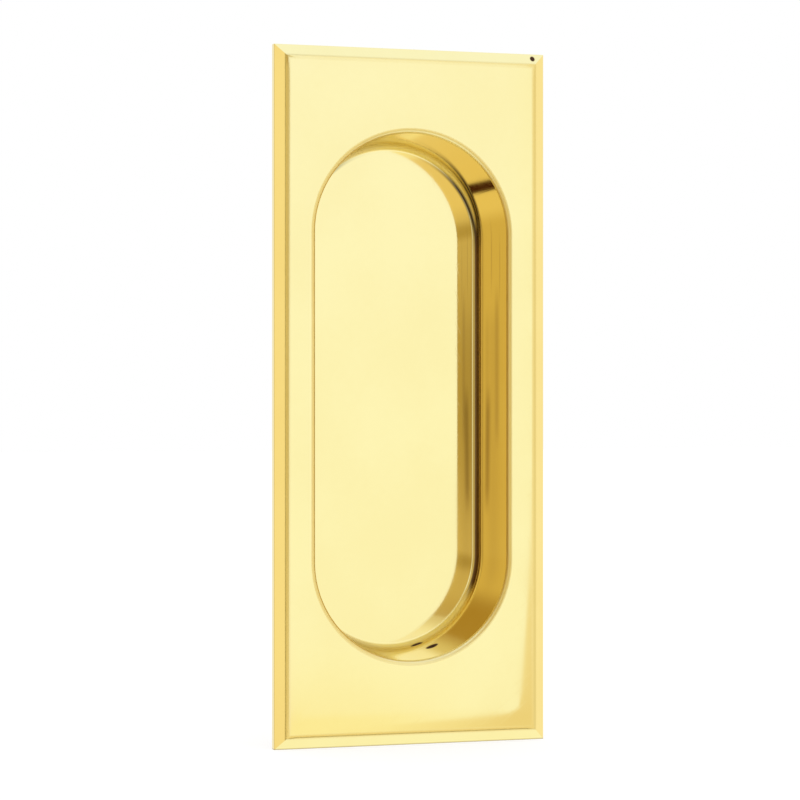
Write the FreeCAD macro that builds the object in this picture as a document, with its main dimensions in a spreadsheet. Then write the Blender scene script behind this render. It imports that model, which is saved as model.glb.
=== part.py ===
# Flush pull for a sliding pocket door.
# One brass forging: a rectangular plate with bevelled front edges, and an oblong finger cup
# whose drafted wall runs from a rounded rim down to a flat floor.
# Frame: the plate's back lies on the door face, at y = 0. +Z is up along the plate, the front
# looks towards -Y, and the cup goes into the door along +Y. Millimetres and degrees.
import FreeCAD
import Part
import Sketcher

import math
import os

NODE = "flush_pull"
SAME_LEVEL = 1e-4

SIZES = {
    # The plate: its outline, the upright land at its edge, and the bevel above the land.
    "plate_width": 41.275,
    "plate_height": 101.6,
    "edge_land": 1.2,
    "bevel_depth": 1.1,
    "bevel_width": 1.75,
    "face_edge_radius": 1.5,
    # The recess: its mouth in the face before the rim is rounded, its depth and its draft.
    "recess_width": 29.4,
    "recess_height": 77.0,
    "recess_depth": 12.0,
    "wall_draft": 3.0,
    "rim_radius": 0.7,
    "foot_radius": 1.0,
    # The metal round the recess, and the fillet where the cup leaves the plate's back.
    "cup_wall": 1.6,
    "cup_floor": 1.6,
    "root_radius": 0.5,
}

PLATE_THICKNESS = "(sizes.edge_land + sizes.bevel_depth)"
FLOOR_LEVEL = "(sizes.recess_depth - " + PLATE_THICKNESS + ")"
CUP_REACH = "(" + FLOOR_LEVEL + " + sizes.cup_floor)"
# At the door face the drafted recess is already narrower than its mouth, and the cup's
# outside stands one wall outside it.
CUP_GROWTH = "2 * (sizes.cup_wall - " + PLATE_THICKNESS + " * tan(sizes.wall_draft * 1 deg))"


def make_sheet(doc):
    """Keep the driving sizes in a spreadsheet, one named cell for each."""
    sheet = doc.addObject("Spreadsheet::Sheet", "sizes")
    for row, (name, value) in enumerate(SIZES.items(), start=1):
        sheet.set("A%d" % row, name)
        sheet.set("B%d" % row, str(value))
        sheet.setAlias("B%d" % row, name)
    doc.recompute()


def door_plane_sketch(body, name):
    """Start a sketch on the door face, with its x along X and its y along Z."""
    sketch = body.newObject("Sketcher::SketchObject", name)
    plane = [item for item in body.Origin.OriginFeatures if item.Role == "XZ_Plane"][0]
    sketch.AttachmentSupport = [(plane, "")]
    sketch.MapMode = "FlatFace"
    return sketch


def bind(sketch, constraint, expression):
    """Add a dimension to a sketch and drive it from the sheet."""
    index = sketch.addConstraint(constraint)
    sketch.setExpression("Constraints[%d]" % index, expression)


def draw_rectangle(sketch, width, height):
    """A rectangle centred on the sketch's origin."""
    half_x = SIZES["plate_width"] / 2
    half_y = SIZES["plate_height"] / 2
    signs = ((-1, -1), (1, -1), (1, 1), (-1, 1))
    corners = [FreeCAD.Vector(x * half_x, y * half_y, 0) for x, y in signs]
    for start, end in zip(corners, corners[1:] + corners[:1]):
        sketch.addGeometry(Part.LineSegment(start, end))
    for line in range(4):
        sketch.addConstraint(Sketcher.Constraint("Coincident", line, 2, (line + 1) % 4, 1))
    for line, direction in enumerate(("Horizontal", "Vertical", "Horizontal", "Vertical")):
        sketch.addConstraint(Sketcher.Constraint(direction, line))
    sketch.addConstraint(Sketcher.Constraint("Symmetric", 0, 1, 1, 2, -1, 1))
    bind(sketch, Sketcher.Constraint("DistanceX", 0, 1, 0, 2, 2 * half_x), width)
    bind(sketch, Sketcher.Constraint("DistanceY", 1, 1, 1, 2, 2 * half_y), height)


def draw_oblong(sketch, width, height):
    """Two upright sides joined by half rounds, centred on the sketch's origin."""
    radius = SIZES["recess_width"] / 2
    reach = SIZES["recess_height"] / 2 - radius
    normal = FreeCAD.Vector(0, 0, 1)
    right, left = (FreeCAD.Vector(side * radius, reach, 0) for side in (1, -1))
    sketch.addGeometry(Part.LineSegment(-left, right))
    upper = Part.Circle(FreeCAD.Vector(0, reach, 0), normal, radius)
    sketch.addGeometry(Part.ArcOfCircle(upper, 0, math.pi))
    sketch.addGeometry(Part.LineSegment(left, -right))
    lower = Part.Circle(FreeCAD.Vector(0, -reach, 0), normal, radius)
    sketch.addGeometry(Part.ArcOfCircle(lower, math.pi, 2 * math.pi))
    for piece in range(4):
        sketch.addConstraint(Sketcher.Constraint("Tangent", piece, 2, (piece + 1) % 4, 1))
    sketch.addConstraint(Sketcher.Constraint("Equal", 1, 3))
    sketch.addConstraint(Sketcher.Constraint("PointOnObject", 1, 3, -2))
    sketch.addConstraint(Sketcher.Constraint("Symmetric", 1, 3, 3, 3, -1, 1))
    bind(sketch, Sketcher.Constraint("Radius", 1, radius), "(%s) / 2" % width)
    bind(sketch, Sketcher.Constraint("DistanceY", 3, 3, 1, 3, 2 * reach), "%s - (%s)" % (height, width))


def edges_at(shape, level, reach):
    """Names of the edges that lie flat at one level and no further from the Z axis than reach."""
    names = []
    for number, edge in enumerate(shape.Edges, start=1):
        box = edge.BoundBox
        flat = abs(box.YMin - level) < SAME_LEVEL and abs(box.YMax - level) < SAME_LEVEL
        if flat and max(-box.XMin, box.XMax) < reach + SAME_LEVEL:
            names.append("Edge%d" % number)
    return names


def round_edges(body, name, radius, level, reach):
    """Round the edges found at one level, with a radius from the sheet."""
    base = body.Tip
    fillet = body.newObject("PartDesign::Fillet", name)
    fillet.Base = (base, edges_at(base.Shape, level, reach))
    fillet.setExpression("Radius", radius)
    body.Document.recompute()


def make_plate(body):
    """The flat plate, with a bevel round its front that is softened where it meets the face."""
    outline = door_plane_sketch(body, "plate_outline")
    draw_rectangle(outline, "sizes.plate_width", "sizes.plate_height")
    plate = body.newObject("PartDesign::Pad", "plate")
    plate.Profile = outline
    plate.setExpression("Length", PLATE_THICKNESS)
    body.Document.recompute()

    box = plate.Shape.BoundBox
    bevel = body.newObject("PartDesign::Chamfer", "front_bevel")
    bevel.Base = (plate, edges_at(plate.Shape, box.YMin, box.XMax))
    bevel.ChamferType = "Two distances"
    bevel.setExpression("Size", "sizes.bevel_depth")
    bevel.setExpression("Size2", "sizes.bevel_width")
    body.Document.recompute()
    round_edges(body, "face_edge", "sizes.face_edge_radius", box.YMin, box.XMax)


def make_cup(body):
    """The finger cup: a drafted oblong boss behind the plate, hollowed from the front."""
    outline = door_plane_sketch(body, "cup_outline")
    draw_oblong(outline, "sizes.recess_width + " + CUP_GROWTH, "sizes.recess_height + " + CUP_GROWTH)
    cup = body.newObject("PartDesign::Pad", "cup")
    cup.Profile = outline
    cup.Reversed = True
    cup.setExpression("Length", CUP_REACH)
    cup.setExpression("TaperAngle", "-sizes.wall_draft")
    body.Document.recompute()

    mouth = door_plane_sketch(body, "recess_mouth")
    mouth.setExpression("AttachmentOffset.Base.z", PLATE_THICKNESS)
    draw_oblong(mouth, "sizes.recess_width", "sizes.recess_height")
    recess = body.newObject("PartDesign::Pocket", "recess")
    recess.Profile = mouth
    recess.setExpression("Length", "sizes.recess_depth")
    recess.setExpression("TaperAngle", "-sizes.wall_draft")
    body.Document.recompute()


def round_cup(body):
    """Round the cup: foot and rim inside, back edge and root outside, with an even wall."""
    box = body.Shape.BoundBox
    mouth_reach = SIZES["recess_width"] / 2
    cup_reach = mouth_reach + SIZES["cup_wall"]
    floor_level = box.YMax - SIZES["cup_floor"]
    round_edges(body, "foot", "sizes.foot_radius", floor_level, mouth_reach)
    round_edges(body, "cup_back", "sizes.foot_radius + sizes.cup_wall", box.YMax, cup_reach)
    round_edges(body, "root", "sizes.root_radius", 0.0, cup_reach)
    round_edges(body, "rim", "sizes.rim_radius", box.YMin, mouth_reach)


def check(doc, body, plate_volume):
    """Stop if a feature failed, or if the cup and its recess are not both there."""
    failed = [item.Name for item in doc.Objects if {"Invalid", "Error"} & set(item.State)]
    if failed:
        raise RuntimeError("failed features: " + ", ".join(failed))
    shape = body.Shape
    if shape.isNull() or not shape.isValid() or len(shape.Solids) != 1:
        raise RuntimeError("the pull is not one valid solid")
    hollow = shape.BoundBox.YLength * plate_volume / (SIZES["edge_land"] + SIZES["bevel_depth"])
    if not plate_volume < shape.Volume < hollow:
        raise RuntimeError("the recess did not cut into the cup")
    print(NODE, "volume", round(shape.Volume, 1), "mm3, faces", len(shape.Faces))
    print("box", shape.BoundBox)


doc = FreeCAD.newDocument("pocket_door_pull")
make_sheet(doc)
body = doc.addObject("PartDesign::Body", NODE)
body.Label = NODE
body.Placement = FreeCAD.Placement()
make_plate(body)
plate_volume = body.Shape.Volume
make_cup(body)
round_cup(body)
check(doc, body, plate_volume)

os.makedirs("parts", exist_ok=True)
body.Shape.exportStep(os.path.join("parts", body.Label + ".step"))
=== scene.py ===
# %% [markdown]
# A flush pull for a pocket door, in polished brass
#
# The pull is one forging: a bevelled plate with an oblong finger cup sunk into it. It has no joint
# and no second piece, so this lesson is about two things only: one closed surface that is smooth
# enough for a mirror polish, and a small studio that gives the mirror something to show.

# %% Load the frame
import math

import bpy
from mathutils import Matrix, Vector


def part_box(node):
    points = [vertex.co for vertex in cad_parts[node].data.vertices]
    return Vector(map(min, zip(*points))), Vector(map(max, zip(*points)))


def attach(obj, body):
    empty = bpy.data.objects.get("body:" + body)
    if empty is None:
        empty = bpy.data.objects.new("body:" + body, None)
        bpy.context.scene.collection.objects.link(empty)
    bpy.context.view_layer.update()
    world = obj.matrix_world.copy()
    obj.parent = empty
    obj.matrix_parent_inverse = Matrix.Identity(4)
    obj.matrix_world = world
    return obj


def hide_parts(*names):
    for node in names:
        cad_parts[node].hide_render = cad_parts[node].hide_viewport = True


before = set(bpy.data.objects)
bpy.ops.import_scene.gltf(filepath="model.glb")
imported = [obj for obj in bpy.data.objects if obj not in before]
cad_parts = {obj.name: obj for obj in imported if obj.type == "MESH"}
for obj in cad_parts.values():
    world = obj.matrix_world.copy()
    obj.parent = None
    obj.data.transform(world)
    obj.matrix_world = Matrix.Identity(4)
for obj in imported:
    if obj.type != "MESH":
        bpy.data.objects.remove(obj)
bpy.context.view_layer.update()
PULL = "flush_pull"
MM = 0.001
low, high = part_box(PULL)
print("frame:", sorted(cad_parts), "box in mm", [round(side / MM, 2) for side in high - low])

# %% [markdown]
# Sizes
#
# The outline comes from the frame, and the sizes below are the ones that the frame's box can't tell.
# All of them are real sizes in millimetres, turned to metres once, here.

# %% Name the sizes
plate_width = high.x - low.x
plate_height = high.z - low.z
front_level = low.y
back_level = high.y
edge_land = 1.2 * MM
bevel_width = 1.75 * MM
bevel_depth = -front_level - edge_land
face_edge_radius = 1.5 * MM
recess_width = 29.4 * MM
recess_height = 77.0 * MM
wall_draft = math.radians(3.0)
rim_radius = 0.7 * MM
foot_radius = 1.0 * MM
cup_wall = 1.6 * MM
cup_floor = 1.6 * MM
root_radius = 0.5 * MM
edge_break = 0.12 * MM

floor_level = back_level - cup_floor
recess_depth = floor_level - front_level
mouth_reach = recess_width / 2
straight_half = recess_height / 2 - mouth_reach
print("recess depth in mm", round(recess_depth / MM, 2), "bevel depth", round(bevel_depth / MM, 2))

# %% [markdown]
# The section
#
# Cut the pull across and the cut shows one line: from the middle of the floor, up the wall, over the
# rim, across the face, down the bevel, round the edge, and home along the cup's back. Every spoke round
# the oblong has this same line, so it is drawn once, as a row of stations. It could be drawn as a curve
# and bevelled along a path, but then the outer edge could not turn from an oblong into a rectangle.
#
# A station has four numbers. Its reach is the distance from the spine, the short upright line that the
# oblong is built on. Its depth is its y. Its share says how far it has left the oblong (0) for the
# rectangle (1), and its inset is how far inside the plate's outline that rectangle lies.

# %% Tools for the section
ARC_STEPS = 14
FLAT_STEPS = 6
SUPPORT = 0.04 * MM


def arc(reach, depth, radius, start, end, steps=ARC_STEPS):
    """Points of a round from one direction to another, in degrees, with both ends."""
    turns = [math.radians(start + (end - start) * step / steps) for step in range(steps + 1)]
    return [(reach + radius * math.cos(turn), depth + radius * math.sin(turn)) for turn in turns]


def flat(start, end, steps=FLAT_STEPS):
    """Points between two ends, with one close to each end so that the shading there stays flat."""
    edge = SUPPORT / math.dist(start, end)
    shares = [edge] + [step / steps for step in range(1, steps)] + [1 - edge]
    return [tuple(a + (b - a) * share for a, b in zip(start, end)) for share in shares]


def joined(first, *rest):
    """Zones of the section in order: rounds, and between each two of them the flat that joins them."""
    zones = [first]
    for flat_name, (round_name, points) in rest:
        zones.append((flat_name, flat(zones[-1][1][-1], points[0])))
        zones.append((round_name, points))
    return zones


print("section tools ready")

# %% [markdown]
# The line of the cut
#
# The recess and the cup's outside are rounds joined by flats. A round touches both its flats, so its
# middle lies one tangent length away from the corner that it takes off. The plate's edge is drawn from
# the outline inwards, because the bevel follows the rectangle and not the oblong.

# %% Draw the section
FACE_STEPS = 24
CREST_STEPS = 8
BREAK_STEPS = 4

draft_degrees = math.degrees(wall_draft)
tangent_share = math.tan((math.pi / 2 - wall_draft) / 2)
foot_reach = mouth_reach - recess_depth * math.tan(wall_draft) - foot_radius * tangent_share
rim_reach = mouth_reach + rim_radius * tangent_share
foot_round = arc(foot_reach, floor_level - foot_radius, foot_radius, 90, draft_degrees)
rim_round = arc(rim_reach, front_level + rim_radius, rim_radius, 180 + draft_degrees, 270)
recess_zones = joined(
    ("floor", [(0.0, floor_level)]),
    ("floor", ("hollow", foot_round)),
    ("wall", ("rim", rim_round)),
)

back_radius = foot_radius + cup_wall
cup_reach = mouth_reach + front_level * math.tan(wall_draft) + cup_wall
root_reach = cup_reach + root_radius * tangent_share
heel_reach = cup_reach - back_level * math.tan(wall_draft) - back_radius * tangent_share
cup_zones = joined(
    ("back", arc(root_reach, root_radius, root_radius, 270, 180 + draft_degrees)),
    ("back", ("back", arc(heel_reach, back_level - back_radius, back_radius, draft_degrees, 90))),
    ("back", ("back", [(0.0, back_level)])),
)

bevel_angle = math.atan2(bevel_depth, bevel_width)
bevel_degrees = math.degrees(bevel_angle)
face_inset = bevel_width + face_edge_radius * math.tan(bevel_angle / 2)
break_tangent = edge_break * math.tan((math.pi / 2 - bevel_angle) / 2)
shoulder_level = front_level + bevel_depth + break_tangent
face_round = arc(-face_inset, front_level + face_edge_radius, face_edge_radius,
                 270, 270 + bevel_degrees, CREST_STEPS)
shoulder_round = arc(-edge_break, shoulder_level, edge_break, 270 + bevel_degrees, 360, BREAK_STEPS)
edge_zones = joined(
    ("crest", face_round),
    ("bevel", ("crest", shoulder_round)),
    ("land", ("back", arc(-edge_break, -edge_break, edge_break, 0, 90, BREAK_STEPS))),
)

first_share = SUPPORT / (plate_width / 2 - rim_reach)
inner_shares = [step / FACE_STEPS for step in range(1, FACE_STEPS)]
face_shares = [first_share] + inner_shares + [1 - first_share]
stations = [(zone, reach, depth, 0.0, 0.0) for zone, points in recess_zones for reach, depth in points]
stations += [("face", rim_reach, front_level, share, face_inset) for share in face_shares]
stations += [(zone, rim_reach, depth, 1.0, -inset)
             for zone, points in edge_zones for inset, depth in points]
stations += [("back", root_reach, 0.0, 1 - share, edge_break) for share in inner_shares]
stations += [(zone, reach, depth, 0.0, 0.0) for zone, points in cup_zones for reach, depth in points]
print("section:", len(stations), "stations, bevel at", round(bevel_degrees, 1), "degrees")

# %% [markdown]
# Numbers that travel with the section
#
# The brass needs to know where it is: painted reflection lines run along the wall, the rim and the outer
# edges are softer than the face, and the foot carries painted shade along its sides and is satin at its
# ends. So each station also carries how far along the section it lies, and a mask for each kind of place.
# A mesh that holds only points and attributes is the plainest table that a node tree can read.

# %% Store the section
MASKS = ("rim", "crest", "hollow", "back")
HOLLOW_LEAN = 1.5


def side_point(station):
    """Where a station lies on the spoke that points straight to the plate's side."""
    reach, depth, share, inset = station[1:]
    return (reach + (plate_width / 2 - inset - reach) * share, depth)


def section_columns():
    """Every number of every station, by name."""
    names = ("reach", "depth", "share", "inset")
    columns = {name: [station[place] for station in stations]
               for place, name in enumerate(names, start=1)}
    across = [0.0]
    for before, after in zip(stations, stations[1:]):
        across.append(across[-1] + math.dist(side_point(before), side_point(after)))
    columns["across"] = across
    for mask in MASKS:
        columns[mask] = [float(station[0] == mask) for station in stations]
    in_hollow = [place for place, station in enumerate(stations) if station[0] == "hollow"]
    for step, place in enumerate(in_hollow):
        columns["hollow"][place] = math.sin(math.pi * (step / (len(in_hollow) - 1)) ** HOLLOW_LEAN)
    return columns


columns = section_columns()
on_wall = [along for station, along in zip(stations, columns["across"]) if station[0] == "wall"]
wall_foot = on_wall[0]
section = bpy.data.meshes.new("pull_section")
section.from_pydata([(*side_point(station), 0) for station in stations], [], [])
for name, numbers in columns.items():
    section.attributes.new(name, "FLOAT", "POINT").data.foreach_set("value", numbers)
section_object = bpy.data.objects.new("pull_section", section)
print("wall starts", round(wall_foot / MM, 2), "mm along the section")

# %% [markdown]
# Small helpers for node trees
#
# The same few calls build the geometry tree, the brass and the studio: add a node, join it to what feeds
# it, do sums, fade from one place to another, and blend two colours.

# %% Node helpers


def feed(tree, socket, value):
    """Join a socket to another socket, or give it a plain value."""
    if isinstance(value, bpy.types.NodeSocket):
        tree.links.new(value, socket)
    else:
        socket.default_value = value


def add(tree, kind, inputs=None, **settings):
    """Add a node, with its settings and what feeds its sockets, by name or number."""
    node = tree.nodes.new(kind)
    for name, value in settings.items():
        setattr(node, name, value)
    for name, value in (inputs or {}).items():
        feed(tree, node.inputs[name], value)
    return node


def sums(tree):
    """A function that adds Math nodes to one tree and gives back their results."""
    def total(operation, *values):
        node = tree.nodes.new("ShaderNodeMath")
        node.operation = operation
        for socket, value in zip(node.inputs, values):
            feed(tree, socket, value)
        return node.outputs[0]
    return total


def mapped(tree, value, from_min, from_max, to_min=0.0, to_max=1.0, smooth=False):
    """A Map Range node's result."""
    ends = {"Value": value, "From Min": from_min, "From Max": from_max,
            "To Min": to_min, "To Max": to_max}
    kind = "SMOOTHSTEP" if smooth else "LINEAR"
    return add(tree, "ShaderNodeMapRange", ends, interpolation_type=kind).outputs["Result"]


def fade(tree, value, start, end, most=1.0):
    """0 where a value is at the start, growing smoothly to its most at the end."""
    return mapped(tree, value, start, end, 0, most, smooth=True)


def noise(tree, vector, scale, detail=0.0):
    """A Noise Texture's value."""
    inputs = {"Vector": vector, "Scale": scale, "Detail": detail}
    return add(tree, "ShaderNodeTexNoise", inputs).outputs[0]


def blended(tree, mask, first, second):
    """A colour between two others. The colour sockets of a Mix node are numbers 6 and 7."""
    return add(tree, "ShaderNodeMix", {"Factor": mask, 6: first, 7: second}, data_type="RGBA").outputs[2]


def new_group(name, inputs, outputs):
    """An empty shader group with named sockets, and what comes in through them."""
    tree = bpy.data.node_groups.new(name, "ShaderNodeTree")
    for direction, sockets in (("INPUT", inputs), ("OUTPUT", outputs)):
        for socket, kind in sockets.items():
            tree.interface.new_socket(socket, in_out=direction, socket_type="NodeSocket" + kind)
    return tree, add(tree, "NodeGroupInput").outputs


print("helpers ready")

# %% [markdown]
# The sweep
#
# The pull's shape follows a rule, so a Geometry Nodes tree makes it. A flat grid has one column of
# points for each spoke and one row for each station. The tree works out where a spoke stands on the
# oblong and where it meets the rectangle, reads the station's numbers, and moves the point there. One
# spoke on each side points exactly at a corner of the plate, so the mitres come out sharp.
#
# A buffing wheel always takes a little more off a margin than off the middle. That fall is only a few
# hundredths of a millimetre, but on a mirror it shows at once as a soft bend in the reflections, so the
# tree lowers the face towards the bevel by the same few hundredths.

# %% Place a spoke
SIDE_STRETCH = 0.2
CORNER_STRETCH = 0.65
NEARLY_NOTHING = 1e-6


def spoke_place(tree, given, spoke):
    """Where a spoke stands: up the straight side, then round the half circle by way of the corner."""
    num = sums(tree)
    half_width = num("MULTIPLY", given["Plate Width"], 0.5)
    half_height = num("MULTIPLY", given["Plate Height"], 0.5)
    corner = num("ARCTAN2", num("SUBTRACT", half_height, given["Straight Half"]), half_width)

    quarter = num("DIVIDE", num("MULTIPLY", spoke, 4), given["Spokes"])
    along = num("PINGPONG", quarter, 1)
    climb = mapped(tree, along, 0, SIDE_STRETCH, 0, given["Straight Half"])
    to_corner = mapped(tree, along, SIDE_STRETCH, CORNER_STRETCH, 0, corner)
    past_corner = mapped(tree, along, CORNER_STRETCH, 1, 0, num("SUBTRACT", math.pi / 2, corner))
    turn = num("ADD", to_corner, past_corner)
    outward = num("COSINE", turn)
    upward = num("SINE", turn)
    to_side = num("DIVIDE", half_width, num("MAXIMUM", outward, NEARLY_NOTHING))
    left_over = num("SUBTRACT", half_height, climb)
    to_end = num("DIVIDE", left_over, num("MAXIMUM", upward, NEARLY_NOTHING))

    bearing = num("MULTIPLY", quarter, math.pi / 2)
    signs = [num("SIGN", num(wave, bearing)) for wave in ("COSINE", "SINE")]
    across = {"direction": outward, "base": 0.0, "half": half_width, "sign": signs[0]}
    upright = {"direction": upward, "base": climb, "half": half_height, "sign": signs[1]}
    return across, upright, num("MINIMUM", to_side, to_end)


print("spokes: straight part", SIDE_STRETCH, "of each quarter, corner at", CORNER_STRETCH)

# %% [markdown]
# From the section to the surface
#
# A second function puts one station on one spoke, and the tree then does that for the whole grid, stores
# the section's numbers on the points, welds the seam and the two middles, and gives each side its finish.

# %% Build the sweep
MERGE_DISTANCE = 1e-7
BACK_FROM = 0.75
STORED = ("across",) + MASKS
SWEEP_INPUTS = {
    "Section": "Object", "Spokes": "Int",
    "Plate Width": "Float", "Plate Height": "Float", "Straight Half": "Float", "Face Inset": "Float",
    "Face Level": "Float", "Shoulder Level": "Float", "Buffed Fall": "Float", "Buffed Margin": "Float",
    "Front Finish": "Material", "Back Finish": "Material",
}


def station_spot(tree, given, spoke, read):
    """The point of a station on a spoke, with the buffed fall at the face's margin."""
    num = sums(tree)
    across, upright, to_edge = spoke_place(tree, given, spoke)
    reach, depth, share, inset = (read(name) for name in ("reach", "depth", "share", "inset"))

    def place(axis):
        """One coordinate on its plus side: from the oblong towards the inset rectangle."""
        oblong = num("MULTIPLY_ADD", axis["direction"], reach, axis["base"])
        edge = num("MULTIPLY_ADD", axis["direction"], to_edge, axis["base"])
        shrunk = num("SUBTRACT", axis["half"], inset)
        rectangle = num("MULTIPLY", num("DIVIDE", edge, axis["half"]), shrunk)
        return num("MULTIPLY_ADD", num("SUBTRACT", rectangle, oblong), share, oblong)

    def margin_fall(axis, position):
        """0 inside the buffed margin, growing to 1 at the face's edge, with a smooth start."""
        spare = num("SUBTRACT", num("SUBTRACT", axis["half"], given["Face Inset"]), position)
        return num("POWER", mapped(tree, spare, given["Buffed Margin"], 0), 2)

    x_place = place(across)
    z_place = place(upright)
    fall = num("ADD", margin_fall(across, x_place), margin_fall(upright, z_place))
    fall = num("MULTIPLY", fall, given["Buffed Fall"])
    on_front = mapped(tree, depth, given["Shoulder Level"], given["Face Level"])
    y_place = num("MULTIPLY_ADD", fall, on_front, depth)
    spot = {"X": num("MULTIPLY", x_place, across["sign"]), "Y": y_place,
            "Z": num("MULTIPLY", z_place, upright["sign"])}
    return add(tree, "ShaderNodeCombineXYZ", spot).outputs[0]


def make_sweep():
    """The tree that carries the section round the oblong and out to the plate's outline."""
    tree = bpy.data.node_groups.new("sweep_pull_section", "GeometryNodeTree")
    tree.interface.new_socket("Geometry", in_out="OUTPUT", socket_type="NodeSocketGeometry")
    for name, kind in SWEEP_INPUTS.items():
        tree.interface.new_socket(name, in_out="INPUT", socket_type="NodeSocket" + kind)
    given = add(tree, "NodeGroupInput").outputs
    num = sums(tree)

    drawn = add(tree, "GeometryNodeObjectInfo", {"Object": given["Section"]}).outputs["Geometry"]
    count = add(tree, "GeometryNodeAttributeDomainSize", {"Geometry": drawn}).outputs["Point Count"]
    rows = {"Vertices X": num("ADD", given["Spokes"], 1), "Vertices Y": count}
    shape = add(tree, "GeometryNodeMeshGrid", rows).outputs["Mesh"]
    index = add(tree, "GeometryNodeInputIndex").outputs[0]
    spoke = num("FLOOR", num("DIVIDE", num("ADD", index, 0.5), count))
    station = num("FLOORED_MODULO", index, count)

    def named(name):
        """A number that is stored on the points."""
        return add(tree, "GeometryNodeInputNamedAttribute", {"Name": name}, data_type="FLOAT").outputs[0]

    def read(name):
        """The section's number for this row of the grid."""
        sample = {"Geometry": drawn, "Value": named(name), "Index": station}
        return add(tree, "GeometryNodeSampleIndex", sample, data_type="FLOAT").outputs[0]

    for name in STORED:
        stored = {"Geometry": shape, "Name": name, "Value": read(name)}
        shape = add(tree, "GeometryNodeStoreNamedAttribute", stored, data_type="FLOAT").outputs[0]
    on_back = num("GREATER_THAN", named("back"), BACK_FROM)
    steps = (
        ("GeometryNodeSetPosition", {"Position": station_spot(tree, given, spoke, read)}),
        ("GeometryNodeMergeByDistance", {"Distance": MERGE_DISTANCE}),
        ("GeometryNodeFlipFaces", {}),
        ("GeometryNodeSetShadeSmooth", {}),
        ("GeometryNodeRealizeInstances", {}),
        ("GeometryNodeSetMaterial", {"Material": given["Front Finish"]}),
        ("GeometryNodeSetMaterial", {"Material": given["Back Finish"], "Selection": on_back}),
    )
    for kind, inputs in steps:
        shape = add(tree, kind, {0: shape, **inputs}).outputs[0]
    add(tree, "NodeGroupOutput", {"Geometry": shape})
    return tree


sweep = make_sweep()
print("sweep tree:", len(sweep.nodes), "nodes")

# %% [markdown]
# What both sides of the brass share
#
# The front is buffed to a mirror and lacquered, and the back is left as it came out of the die and the
# sand. Both are the same alloy, whose tone drifts a little from place to place, and both carry hairlines
# from handling. Those two effects are groups, built once and placed in each finish with its own values.

# %% Build the shared groups
GRAIN_SHARE = 0.15
HAIRLINE_TURNS = (0.35, -0.9)


def make_tone():
    """Brass whose tone drifts slowly, with a finer grain on top."""
    tree, given = new_group("brass_tone", {"Vector": "Vector", "Light": "Color", "Deep": "Color",
                                           "Patches": "Float", "Grain": "Float"}, {"Tone": "Color"})
    num = sums(tree)
    slow = noise(tree, given["Vector"], given["Patches"], 3.0)
    fine = noise(tree, given["Vector"], given["Grain"], 2.0)
    mixed = num("MULTIPLY_ADD", slow, 1 - GRAIN_SHARE, num("MULTIPLY", fine, GRAIN_SHARE))
    drift = fade(tree, mixed, 0.3, 0.7)
    add(tree, "NodeGroupOutput", {"Tone": blended(tree, drift, given["Light"], given["Deep"])})
    return tree


def make_hairlines():
    """The height of a surface with thin straight scratches in two directions."""
    tree, given = new_group("hairlines", {"Vector": "Vector", "Length": "Float", "Fineness": "Float",
                                          "Amount": "Float"}, {"Height": "Float"})
    num = sums(tree)
    found = []
    for turn in HAIRLINE_TURNS:
        turned = {"Vector": given["Vector"], "Rotation": (0, turn, 0)}
        laid = add(tree, "ShaderNodeMapping", turned).outputs[0]
        sides = {"X": given["Fineness"], "Y": given["Fineness"], "Z": given["Length"]}
        stretch = add(tree, "ShaderNodeCombineXYZ", sides).outputs[0]
        drawn = add(tree, "ShaderNodeVectorMath", {0: laid, 1: stretch}, operation="MULTIPLY").outputs[0]
        found.append(mapped(tree, noise(tree, drawn, 1.0), num("SUBTRACT", 0.78, given["Amount"]), 0.8))
    add(tree, "NodeGroupOutput", {"Height": num("SUBTRACT", 1.0, num("MAXIMUM", *found))})
    return tree


tone_group = make_tone()
hairline_group = make_hairlines()
print("groups:", tone_group.name, hairline_group.name)

# %% [markdown]
# Painted reflection, painted shade, satin and marks
#
# In the recess, brown lines run lengthways on the wall and on the floor next to it. They are painted
# reflection of the streaks that buffing leaves there, and two black lines near the foot are painted dark
# reflection. The wheel hardly reaches the foot: along the straight sides the foot is darkened with
# painted shade, and round the ends it is left satin. Low in the recess two dark marks are painted
# reflection of a dark thing and its image, one corner has a speck of dirt, and a brown line of painted
# shade runs along the lower edge. Each of these is a mask, placed by the section's own length and by the
# height on the plate.

# %% Places on the brass
# Each pair goes from where an effect is nothing to where it is full.
# The dark foot is painted shade in the foot of the recess.
DARK_FOOT_TOP = (straight_half + 4 * MM, straight_half + 1 * MM)
DARK_FOOT_END = (-straight_half - 8 * MM, -straight_half - 4 * MM)
DARK_FOOT_HOLLOW = (0.3, 0.75)
SATIN_TOP = (straight_half, straight_half + 8 * MM)
SATIN_END = (-straight_half - 4 * MM, -straight_half - 10 * MM)
SATIN_HOLLOW = (0, 0.3)
GOLDEN_SIDE = (-8 * MM, 2 * MM)
# The band along the lower edge is painted shade.
LOW_EDGE_SHADE = (low.z + 0.22 * MM, low.z + 0.05 * MM)
MARK_EDGE = (1.1, 0.8)
# The foot's painted shade is a little stronger away from the middle: two heights, and its strength at
# each.
DARK_FOOT_HEIGHTS = (10 * MM, 24 * MM)
DARK_FOOT_STRENGTHS = (0.93, 0.98)
# Painted colours: a brown for the painted reflection lines and for the painted shade on the lower edge,
# and a black for painted dark reflection near the foot.
SHADE_AND_REFLECTION_BROWN = (0.20, 0.09, 0.012, 1)
REFLECTION_BLACK = (0.03, 0.012, 0.003, 1)
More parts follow.
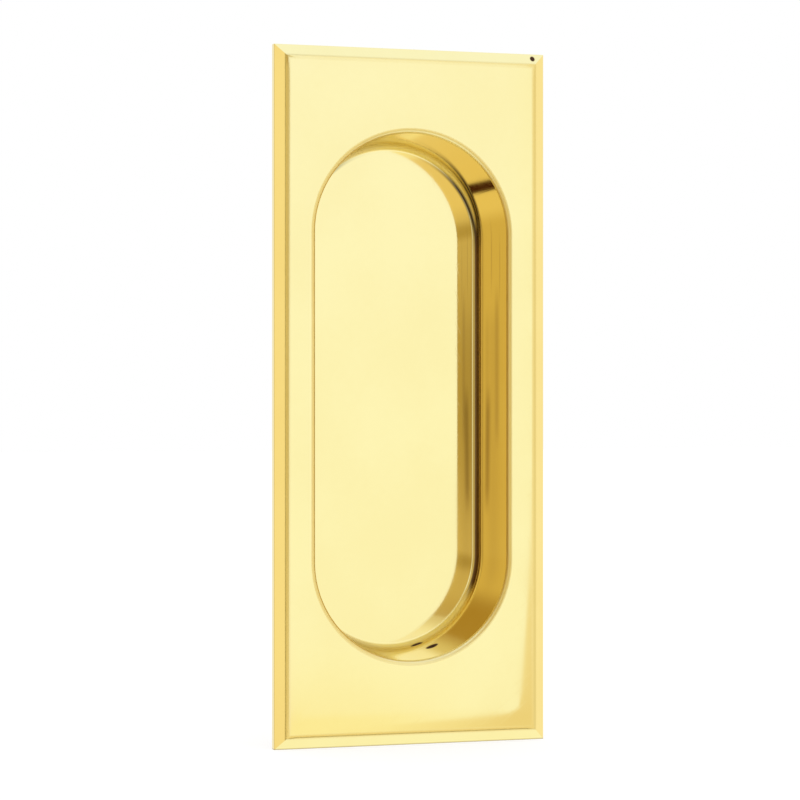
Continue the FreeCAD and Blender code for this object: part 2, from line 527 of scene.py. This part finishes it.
# Each painted reflection line: its lower and its upper end, half its width, how strong it is, and its
# tone. An end is a distance along the section from the wall's foot, with the floor as minus, and a
# height, in millimetres.
PAINTED_REFLECTION_LINES = (
    ((5.2, -28), (5.2, 12), 4.5, 0.16, SHADE_AND_REFLECTION_BROWN),
    ((2.8, -10), (2.8, 12), 1.3, 0.15, SHADE_AND_REFLECTION_BROWN),
    ((6.7, -6), (6.7, 15), 1.4, 0.30, SHADE_AND_REFLECTION_BROWN),
    ((4.6, 17), (4.6, 25), 0.45, 0.25, SHADE_AND_REFLECTION_BROWN),
    ((7.8, 15), (7.8, 23), 0.45, 0.20, SHADE_AND_REFLECTION_BROWN),
    ((-2.2, -16), (-2.4, 0), 0.7, 0.45, SHADE_AND_REFLECTION_BROWN),
    ((-1.35, -26), (-1.35, 26), 0.5, 0.25, SHADE_AND_REFLECTION_BROWN),
    ((10.5, -26), (10.5, 26), 0.5, 0.35, SHADE_AND_REFLECTION_BROWN),
    # The two black lines are painted dark reflection near the foot.
    ((-0.95, 24), (-1.50, 34), 0.55, 1.00, REFLECTION_BLACK),
    ((-0.50, 24), (0.10, 34), 0.50, 1.00, REFLECTION_BLACK),
)
LINE_FADE = 3.0
# Each mark: its middle and its half sizes in millimetres. The first two are painted reflection of a dark
# thing and its image, and the last is a speck of dirt.
MARKS = {
    "painted_reflection": ((5.2, 4.7, -37.2), (1.0, 0.95, 1.0)),
    "painted_reflection_image": ((4.15, 8.95, -37.25), (1.0, 0.35, 1.0)),
    "speck": ((18.75, -1.6, 50.05), (0.38, 0.5, 0.45)),
}


def attribute(tree, name):
    """A number that the sweep stored on the mesh."""
    return add(tree, "ShaderNodeAttribute", attribute_name=name).outputs["Fac"]


def foot_masks(tree, axes, hollow):
    """Where the foot is darkened with painted shade, where it is satin, and where the satin is golden."""
    num = sums(tree)
    below_top = fade(tree, axes["Z"], *DARK_FOOT_TOP)
    above_end = fade(tree, axes["Z"], *DARK_FOOT_END)
    dark = num("MULTIPLY", fade(tree, hollow, *DARK_FOOT_HOLLOW), num("MULTIPLY", below_top, above_end))
    from_middle = num("ABSOLUTE", axes["Z"])
    strength = mapped(tree, from_middle, *DARK_FOOT_HEIGHTS, *DARK_FOOT_STRENGTHS)
    dark = num("MULTIPLY", dark, strength)
    ends = num("ADD", fade(tree, axes["Z"], *SATIN_TOP), fade(tree, axes["Z"], *SATIN_END))
    satin = num("MULTIPLY", ends, mapped(tree, hollow, *SATIN_HOLLOW))
    golden = num("MULTIPLY", satin, fade(tree, axes["X"], *GOLDEN_SIDE))
    return dark, satin, golden


def with_lines(tree, height, tone):
    """A tone with the painted reflection lines over it."""
    num = sums(tree)
    climb = num("DIVIDE", num("SUBTRACT", attribute(tree, "across"), wall_foot), MM)
    level = num("DIVIDE", height, MM)
    for (start, lower), (end, upper), half, strength, line_colour in PAINTED_REFLECTION_LINES:
        middle = mapped(tree, level, lower, upper, start, end)
        aside = num("ABSOLUTE", num("SUBTRACT", climb, middle))
        line = fade(tree, aside, half, 0, strength)
        for edge, inward in ((lower, LINE_FADE), (upper, -LINE_FADE)):
            line = num("MULTIPLY", line, fade(tree, level, edge - inward, edge + inward))
        tone = blended(tree, line, tone, line_colour)
    return tone


def mark_mask(tree, spot):
    """1 on the two marks of painted reflection and on the speck."""
    num = sums(tree)
    mask = 0.0
    for middle, halves in MARKS.values():
        vector = spot
        for operation, sides in (("SUBTRACT", middle), ("DIVIDE", halves)):
            inputs = {0: vector, 1: [side * MM for side in sides]}
            vector = add(tree, "ShaderNodeVectorMath", inputs, operation=operation).outputs[0]
        reach = add(tree, "ShaderNodeVectorMath", {0: vector}, operation="LENGTH").outputs["Value"]
        mask = num("MAXIMUM", mask, mapped(tree, reach, *MARK_EDGE))
    return mask


print("places:", len(PAINTED_REFLECTION_LINES), "painted reflection lines and", len(MARKS), "marks")

# %% [markdown]
# The mirror finish
#
# A buffed face is never quite flat: it has slow waves from the wheel, far too shallow to model, so they
# are bump. The haze in the polish, the rim, the crest of the bevel and the foot are each a little rougher
# than the face. The two marks of painted reflection and the speck of dirt are no metal at all and take no
# lacquer, so they stay dark from every side. A clear lacquer lies over the rest.

# %% Mirror brass
BRASS_LIGHT = (0.925, 0.785, 0.345, 1)
BRASS_DEEP = (0.91, 0.76, 0.32, 1)
# The colour of the painted shade in the foot of the recess.
FOOT_PAINTED_SHADE = (0.09, 0.032, 0.003, 1)
SATIN_TONE = (0.99, 0.79, 0.20, 1)
# The dark of the speck of dirt, and of the two marks of painted reflection.
DIRT_AND_PAINTED_REFLECTION = (0.06, 0.018, 0.002, 1)
LOW_EDGE_SHADE_STRENGTH = 0.6
WAVE_DEPTH = 0.008 * MM
HAIRLINE_DEPTH = 0.0004 * MM
POLISHED_ROUGHNESS = (0.045, 0.08)
SATIN_ROUGHNESS = 0.4
HOLLOW_ROUGHNESS = 0.2
RIM_ROUGHNESS = 0.3
CREST_ROUGHNESS = 0.14
MARK_ROUGHNESS = 0.95
LACQUER = 0.5
LACQUER_ROUGHNESS = 0.04


def group_node(tree, group, inputs):
    """A group, placed in a tree with its own values."""
    node = add(tree, "ShaderNodeGroup", node_tree=group)
    for name, value in inputs.items():
        feed(tree, node.inputs[name], value)
    return node


def bumped(tree, height, depth, normal=None):
    """A bump of a real depth in metres, laid over an earlier one."""
    inputs = {"Strength": 1.0, "Distance": depth, "Height": height}
    if normal is not None:
        inputs["Normal"] = normal
    return add(tree, "ShaderNodeBump", inputs).outputs["Normal"]


def new_finish(name):
    """A material, its tree, its Principled sockets and the place on the pull."""
    material = bpy.data.materials.new(name)
    material.use_nodes = True
    tree = material.node_tree
    spot = add(tree, "ShaderNodeTexCoord").outputs["Object"]
    return material, tree, tree.nodes["Principled BSDF"].inputs, spot


def make_mirror_brass():
    """Buffed and lacquered brass, for everything that shows from the front."""
    material, tree, sockets, spot = new_finish("mirror_brass")
    num = sums(tree)
    axes = add(tree, "ShaderNodeSeparateXYZ", {"Vector": spot}).outputs
    hollow = attribute(tree, "hollow")
    dark, satin, golden = foot_masks(tree, axes, hollow)
    dirt_and_painted_reflection = mark_mask(tree, spot)

    tone = group_node(tree, tone_group, {"Vector": spot, "Light": BRASS_LIGHT, "Deep": BRASS_DEEP,
                                         "Patches": 60.0, "Grain": 900.0}).outputs["Tone"]
    # Painted shade in the foot of the recess.
    tone = blended(tree, dark, tone, FOOT_PAINTED_SHADE)
    tone = blended(tree, golden, tone, SATIN_TONE)
    # Painted shade along the lower edge.
    tone = blended(tree, fade(tree, axes["Z"], *LOW_EDGE_SHADE, LOW_EDGE_SHADE_STRENGTH), tone, SHADE_AND_REFLECTION_BROWN)
    # Painted reflection lines on the wall and the floor of the recess.
    tone = with_lines(tree, axes["Z"], tone)
    # The speck of dirt and the two marks of painted reflection.
    feed(tree, sockets["Base Color"], blended(tree, dirt_and_painted_reflection, tone, DIRT_AND_PAINTED_REFLECTION))

    hairs = group_node(tree, hairline_group, {"Vector": spot, "Length": 60.0, "Fineness": 5000.0,
                                              "Amount": 0.02}).outputs["Height"]
    waved = bumped(tree, noise(tree, spot, 75.0), WAVE_DEPTH)
    feed(tree, sockets["Normal"], bumped(tree, hairs, HAIRLINE_DEPTH, waved))

    rough = mapped(tree, noise(tree, spot, 130.0, 1.0), 0.3, 0.7, *POLISHED_ROUGHNESS)
    rougher = ((satin, SATIN_ROUGHNESS), (hollow, HOLLOW_ROUGHNESS),
               (attribute(tree, "rim"), RIM_ROUGHNESS), (attribute(tree, "crest"), CREST_ROUGHNESS))
    for mask, amount in rougher:
        rough = num("MULTIPLY_ADD", mask, amount, rough)
    rough = num("MAXIMUM", rough, num("MULTIPLY", dirt_and_painted_reflection, MARK_ROUGHNESS))
    feed(tree, sockets["Roughness"], rough)
    feed(tree, sockets["Metallic"], num("SUBTRACT", 1, dirt_and_painted_reflection))
    feed(tree, sockets["Coat Weight"], num("MULTIPLY_ADD", dirt_and_painted_reflection, -LACQUER, LACQUER))
    feed(tree, sockets["Coat Roughness"], LACQUER_ROUGHNESS)
    return material


mirror_brass = make_mirror_brass()
print("front finish:", mirror_brass.name, len(mirror_brass.node_tree.nodes), "nodes")

# %% [markdown]
# The plain back
#
# Nobody sees the back once the pull is in its mortise, so it keeps the dull skin of the forging: darker
# and satin, with a fine grain and a few deeper scratches.

# %% Forged brass
FORGED_LIGHT = (0.62, 0.46, 0.20, 1)
FORGED_DEEP = (0.54, 0.39, 0.16, 1)
SKIN_DEPTH = 0.03 * MM
SCRATCH_DEPTH = 0.004 * MM
FORGED_ROUGHNESS = (0.34, 0.5)


def make_forged_brass():
    """The satin skin of the back, which is only brushed clean."""
    material, tree, sockets, spot = new_finish("forged_brass")
    tone = group_node(tree, tone_group, {"Vector": spot, "Light": FORGED_LIGHT, "Deep": FORGED_DEEP,
                                         "Patches": 110.0, "Grain": 1500.0}).outputs["Tone"]
    skin = noise(tree, spot, 1400.0, 3.0)
    hairs = group_node(tree, hairline_group, {"Vector": spot, "Length": 90.0, "Fineness": 2500.0,
                                              "Amount": 0.06}).outputs["Height"]
    feed(tree, sockets["Base Color"], tone)
    feed(tree, sockets["Normal"], bumped(tree, hairs, SCRATCH_DEPTH, bumped(tree, skin, SKIN_DEPTH)))
    feed(tree, sockets["Roughness"], mapped(tree, skin, 0.3, 0.7, *FORGED_ROUGHNESS))
    feed(tree, sockets["Metallic"], 1.0)
    return material


forged_brass = make_forged_brass()
print("back finish:", forged_brass.name)

# %% [markdown]
# The pull itself
#
# The tree runs once, on an empty holder, with its sizes given by name. Its result is turned into a plain
# mesh, and the holder goes. The pull stands for the CAD solid.

# %% Sweep the pull
SPOKES = 4 * 60
BUFFED_FALL = 0.05 * MM
BUFFED_MARGIN = 3.0 * MM
SHARP_EDGE = math.radians(25)


def modifier_input(tree, name):
    """The identifier of a tree's named input."""
    return next(item.identifier for item in tree.interface.items_tree
                if item.name == name and item.in_out == "INPUT")


def sweep_pull():
    """Run the tree once and keep its result as a plain mesh."""
    holder = bpy.data.objects.new("pull_holder", bpy.data.meshes.new("pull_holder"))
    for thing in (holder, section_object):
        bpy.context.scene.collection.objects.link(thing)
    modifier = holder.modifiers.new("sweep", "NODES")
    modifier.node_group = sweep
    sizes = {"Section": section_object, "Spokes": SPOKES, "Plate Width": plate_width,
             "Plate Height": plate_height, "Straight Half": straight_half, "Face Inset": face_inset,
             "Face Level": front_level, "Shoulder Level": front_level + bevel_depth,
             "Buffed Fall": BUFFED_FALL, "Buffed Margin": BUFFED_MARGIN,
             "Front Finish": mirror_brass, "Back Finish": forged_brass}
    for name, value in sizes.items():
        modifier[modifier_input(sweep, name)] = value
    bpy.context.view_layer.update()
    ready = holder.evaluated_get(bpy.context.evaluated_depsgraph_get())
    mesh = bpy.data.meshes.new_from_object(ready)
    # The first slot is the empty one of the holder.
    mesh.materials.pop(index=0)
    for scrap in (holder, section_object):
        bpy.data.objects.remove(scrap)
    return mesh


pull_mesh = sweep_pull()
pull_mesh.name = "pull"
pull_mesh.set_sharp_from_angle(angle=SHARP_EDGE)
pull = bpy.data.objects.new("pull", pull_mesh)
bpy.context.scene.collection.objects.link(pull)
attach(pull, "root")
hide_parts(PULL)
print("pull:", len(pull_mesh.vertices), "points,", len(pull_mesh.polygons), "faces,",
      [finish.name for finish in pull_mesh.materials])

# %% [markdown]
# The camera
#
# The view is level with the middle of the plate and a little to its left. The turn, the distance and
# the focal length come from the plate's four edges in the picture, and a small shift sets the framing.

# %% Camera
PICTURE = 800
CAMERA_TURN = math.radians(-17.65)
CAMERA_DISTANCE = 381.5 * MM
FOCAL_PIXELS = 2617.0
FACE_CENTRE_PIXEL = (413.1, 396.8)
SENSOR = 36.0

lens = bpy.data.cameras.new("camera")
lens.sensor_width = SENSOR
lens.lens = FOCAL_PIXELS / PICTURE * SENSOR
lens.shift_x = (PICTURE / 2 - FACE_CENTRE_PIXEL[0]) / PICTURE
lens.shift_y = (FACE_CENTRE_PIXEL[1] - PICTURE / 2) / PICTURE
camera = bpy.data.objects.new("camera", lens)
towards_camera = Vector((math.sin(CAMERA_TURN), -math.cos(CAMERA_TURN), 0))
camera.location = Vector((0, front_level, 0)) + towards_camera * CAMERA_DISTANCE
camera.rotation_euler = (-towards_camera).to_track_quat("-Z", "Y").to_euler()
bpy.context.scene.collection.objects.link(camera)
bpy.context.scene.camera = camera
print("camera: lens", round(lens.lens, 1), "mm")

# %% [markdown]
# The studio
#
# A mirror has no look of its own: it shows the room. So the room is drawn as large and small soft panels
# on the world, each at an azimuth and an elevation in degrees, with 0 straight in front of the face and
# plus to its right. The key panel fills the face and the floor of the recess, and the walls at the left
# and the right light the bevels and the recess. The gaps between them draw the thin dark lines at the
# rim, and the dark and gold panels give the recess wall its tones, and the wall's image in the floor its
# own. One group makes every panel, and they are laid over each other in order. The camera and the floor
# of the studio see plain white instead.

# %% Studio
ROOM = (0.16, 0.12, 0.085)
PANELS = {
    "back wall": dict(at=(180, 0), half=(82, 90), corner=1, soft=10, light=(0.96, 0.94, 0.88)),
    "back floor": dict(at=(180, -50), half=(85, 25), corner=4, soft=6, light=(0.35, 0.27, 0.12)),
    "far left": dict(at=(-82, 0), half=(26, 60), corner=2, soft=6, light=(0.62, 0.50, 0.32)),
    "right wall": dict(at=(58, 0), half=(24, 60), corner=2, soft=5, light=(0.88, 0.80, 0.60)),
    "right fill": dict(at=(90, 0), half=(16, 60), corner=4, soft=5, light=(1.05, 0.99, 0.83)),
    "left wall": dict(at=(-33, 0), half=(15, 50), corner=2, soft=3, light=(0.75, 0.62, 0.33)),
    "left fill": dict(at=(-49.6, 0), half=(7, 55), corner=4, soft=3, light=(1.03, 0.91, 0.63)),
    "left gap": dict(at=(-38.5, 0), half=(4, 55), corner=2, soft=2, light=(0.42, 0.34, 0.17)),
    "near wall": dict(at=(-10, 0), half=(10, 50), corner=2, soft=3, light=(0.70, 0.60, 0.38)),
    "beside key": dict(at=(30, 0), half=(11, 50), corner=2, soft=3, light=(0.98, 0.93, 0.78)),
    "under key": dict(at=(5, -28), half=(33, 23), corner=6, soft=4, light=(0.93, 0.82, 0.55)),
    "low gap": dict(at=(15, -36), half=(40, 4), corner=2, soft=2, light=(0.35, 0.26, 0.10)),
    "key": dict(at=(11.65, 15.55), half=(13.15, 26.45), corner=12.8, soft=0.35,
                light=(1.077, 1.15, 1.25)),
    "key top": dict(at=(10.8, 24), half=(9, 20), corner=4, soft=9, light=(1.08, 1.165, 1.42)),
    "low fill": dict(at=(13.6, -11), half=(4.8, 4.3), corner=2, soft=2, light=(1.07, 1.06, 0.86)),
    "ceiling": dict(at=(0, 90), half=(190, 42), corner=1, soft=12, light=(1.05, 1.16, 1.45)),
    "floor glow": dict(at=(0, -90), half=(190, 45), corner=1, soft=12, light=(1.067, 1.124, 1.137)),
    "gold ceiling": dict(at=(4.5, 22.5), half=(6, 6), corner=4, soft=3, light=(0.80, 0.76, 0.60)),
    "dark ceiling": dict(at=(-11.3, 21.7), half=(12.7, 7.6), corner=4, soft=6, light=(0.47, 0.33, 0.11)),
    "high band": dict(at=(4, -8), half=(6, 3), corner=3, soft=3, light=(1.05, 1.0, 1.1)),
    "low band": dict(at=(2.5, 7), half=(5, 4), corner=4, soft=2, light=(0.62, 0.50, 0.24)),
    "dark head": dict(at=(-13.8, 0), half=(6.8, 2.2), corner=1.5, soft=2, light=(0.52, 0.42, 0.20)),
    "dark bar": dict(at=(-18.8, -17.6), half=(6, 1.7), corner=0.8, soft=0.5, light=(0.05, 0.008, 0.002)),
}


def make_panel():
    """A rectangle with round corners and a soft edge, on the sphere of directions."""
    names = ("Azimuth", "Elevation", "Panel Azimuth", "Panel Elevation", "Half Width", "Half Height",
             "Corner", "Softness")
    tree, given = new_group("studio_panel", {name: "Float" for name in names}, {"Mask": "Float"})
    num = sums(tree)
    aside = num("WRAP", num("SUBTRACT", given["Azimuth"], given["Panel Azimuth"]), 180, -180)
    above = num("SUBTRACT", given["Elevation"], given["Panel Elevation"])
    over = [num("SUBTRACT", num("ABSOLUTE", offset), num("SUBTRACT", given[half], given["Corner"]))
            for offset, half in ((aside, "Half Width"), (above, "Half Height"))]
    squares = [num("POWER", num("MAXIMUM", side, 0), 2) for side in over]
    outside = num("SQRT", num("ADD", *squares))
    inside = num("MINIMUM", num("MAXIMUM", *over), 0)
    distance = num("SUBTRACT", num("ADD", outside, inside), given["Corner"])
    mask = mapped(tree, distance, given["Softness"], num("MULTIPLY", given["Softness"], -1), smooth=True)
    add(tree, "NodeGroupOutput", {"Mask": mask})
    return tree


def light_studio():
    """The world: the panels in reflections, and plain white for the camera and on matt surfaces."""
    world = bpy.data.worlds.new("studio")
    bpy.context.scene.world = world
    world.use_nodes = True
    tree = world.node_tree
    num = sums(tree)
    panel = make_panel()
    ray = add(tree, "ShaderNodeTexCoord").outputs["Generated"]
    x, y, z = add(tree, "ShaderNodeSeparateXYZ", {"Vector": ray}).outputs
    azimuth = num("DEGREES", num("ARCTAN2", x, num("MULTIPLY", y, -1)))
    elevation = num("DEGREES", num("ARCSINE", z))
    colour = (*ROOM, 1)
    for settings in PANELS.values():
        inputs = {"Azimuth": azimuth, "Elevation": elevation, "Corner": settings["corner"],
                  "Softness": settings["soft"]}
        inputs.update(zip(("Panel Azimuth", "Panel Elevation"), settings["at"]))
        inputs.update(zip(("Half Width", "Half Height"), settings["half"]))
        mask = group_node(tree, panel, inputs).outputs["Mask"]
        colour = blended(tree, mask, colour, (*settings["light"], 1))
    panels = add(tree, "ShaderNodeBackground", {"Color": colour}).outputs[0]
    plain = tree.nodes["Background"]
    plain.inputs["Color"].default_value = (1, 1, 1, 1)
    path = add(tree, "ShaderNodeLightPath").outputs
    seen = num("MAXIMUM", path["Is Camera Ray"], path["Is Diffuse Ray"])
    mixed = add(tree, "ShaderNodeMixShader", {0: seen, 1: panels, 2: plain.outputs[0]}).outputs[0]
    feed(tree, tree.nodes["World Output"].inputs["Surface"], mixed)
    world.cycles.sampling_method = "NONE"


light_studio()
bpy.context.scene.view_settings.view_transform = "Standard"
print("studio:", len(PANELS), "panels")

# %% [markdown]
# The floor
#
# The plate stands on a plain white floor. To the camera most of its white is its own, so that it runs
# into the background without a line, and the rest is lit, so that it keeps the pull's soft shadow.

# %% Floor
FLOOR_SIDE = 4.0
OWN_WHITE = 0.72
LIT_WHITE = (0.35, 0.35, 0.35, 1)


def make_floor():
    """A white floor under the plate's lower edge."""
    half = FLOOR_SIDE / 2
    corners = [(-half, -half), (half, -half), (half, half), (-half, half)]
    mesh = bpy.data.meshes.new("studio_floor")
    mesh.from_pydata([(x, y, low.z) for x, y in corners], [], [(0, 1, 2, 3)])
    floor = bpy.data.objects.new("studio_floor", mesh)
    bpy.context.scene.collection.objects.link(floor)
    floor.visible_glossy = False
    material = bpy.data.materials.new("white_floor")
    material.use_nodes = True
    tree = material.node_tree
    tree.nodes.remove(tree.nodes["Principled BSDF"])
    lit = add(tree, "ShaderNodeBsdfDiffuse", {"Color": LIT_WHITE}).outputs[0]
    seen = add(tree, "ShaderNodeLightPath").outputs["Is Camera Ray"]
    strength = sums(tree)("MULTIPLY", seen, OWN_WHITE)
    own = add(tree, "ShaderNodeEmission", {"Strength": strength}).outputs[0]
    both = add(tree, "ShaderNodeAddShader", {0: lit, 1: own}).outputs[0]
    feed(tree, tree.nodes["Material Output"].inputs["Surface"], both)
    mesh.materials.append(material)
    return floor


print("floor at z =", round(make_floor().bound_box[0][2] / MM, 1), "mm")
